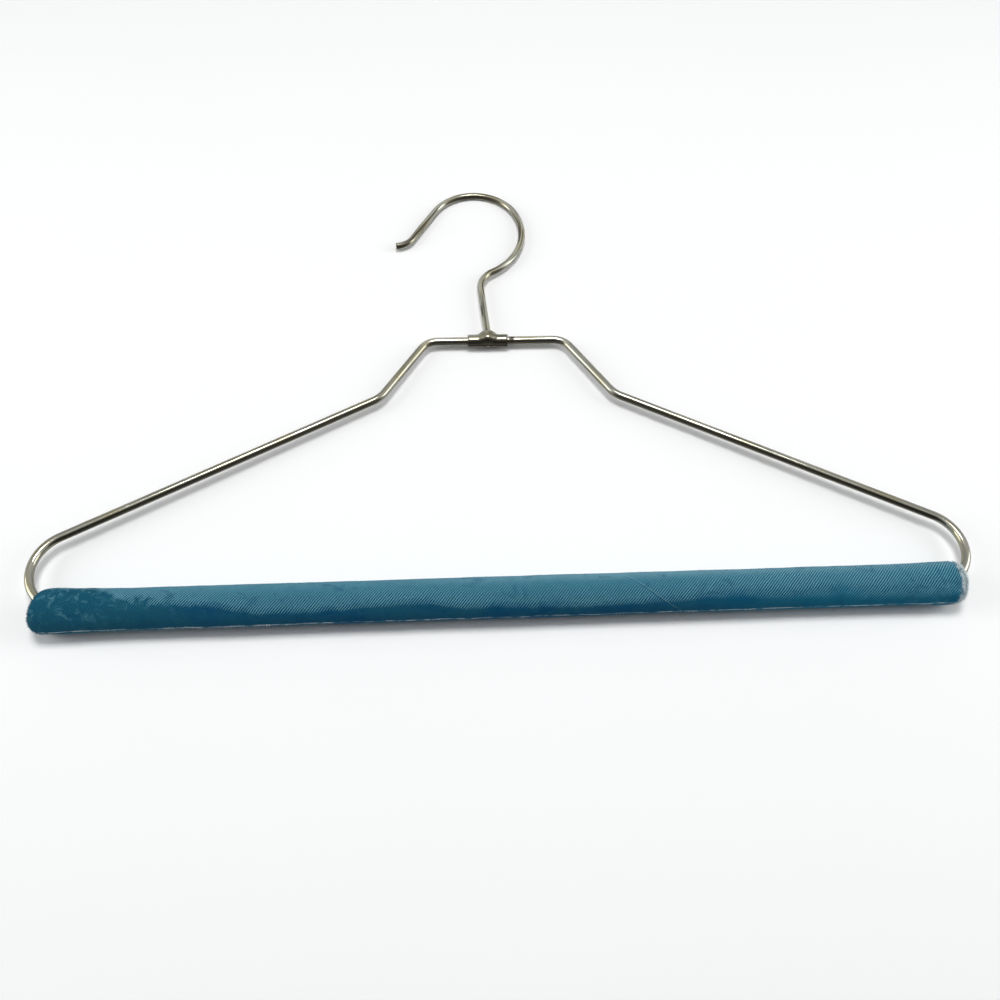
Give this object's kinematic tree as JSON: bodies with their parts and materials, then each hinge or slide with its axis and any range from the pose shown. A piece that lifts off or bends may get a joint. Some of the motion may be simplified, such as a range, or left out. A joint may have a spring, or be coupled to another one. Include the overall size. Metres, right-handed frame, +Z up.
{
  "type": "velvet trouser hanger",
  "caption": "Wire clothes hanger with a velvet-covered padded trouser bar and a swivel hook in a sliding folded collar, lying flat.",
  "frame": {"origin": "middle of the box's underside, on the table that the hanger lies on", "axes": "+X along the padded bar, +Y from the bar towards the hook, +Z up from the table"},
  "size_m": [0.417, 0.2606, 0.019],
  "materials": {
    "frame_metal": "aged nickel plate",
    "collar_metal": "aged nickel plate",
    "hook_metal": "aged nickel plate",
    "velvet": "teal blue velvet pile",
    "wadding": "white polyester wadding",
    "core_wood": "plain softwood"
  },
  "bodies": {
    "frame": {"frame_wire": "frame_metal", "velvet_cover": "velvet", "bar_wadding": "wadding", "core_half_upper": "core_wood", "core_half_lower": "core_wood"},
    "collar": {"hook_collar": "collar_metal"},
    "hook": {"swivel_hook": "hook_metal"}
  },
  "joints": [
    {"name": "collar_slide", "type": "slide", "parent": "frame", "child": "collar", "axis": [1, 0, 0], "range_m": [-0.016, 0.0236]},
    {"name": "hook_swivel", "type": "hinge", "parent": "collar", "child": "hook", "pos_m": [-0.0038, 0.02863, 0.00454], "axis": [-0.0845, 0.996, -0.0273], "continuous": true}
  ]
}
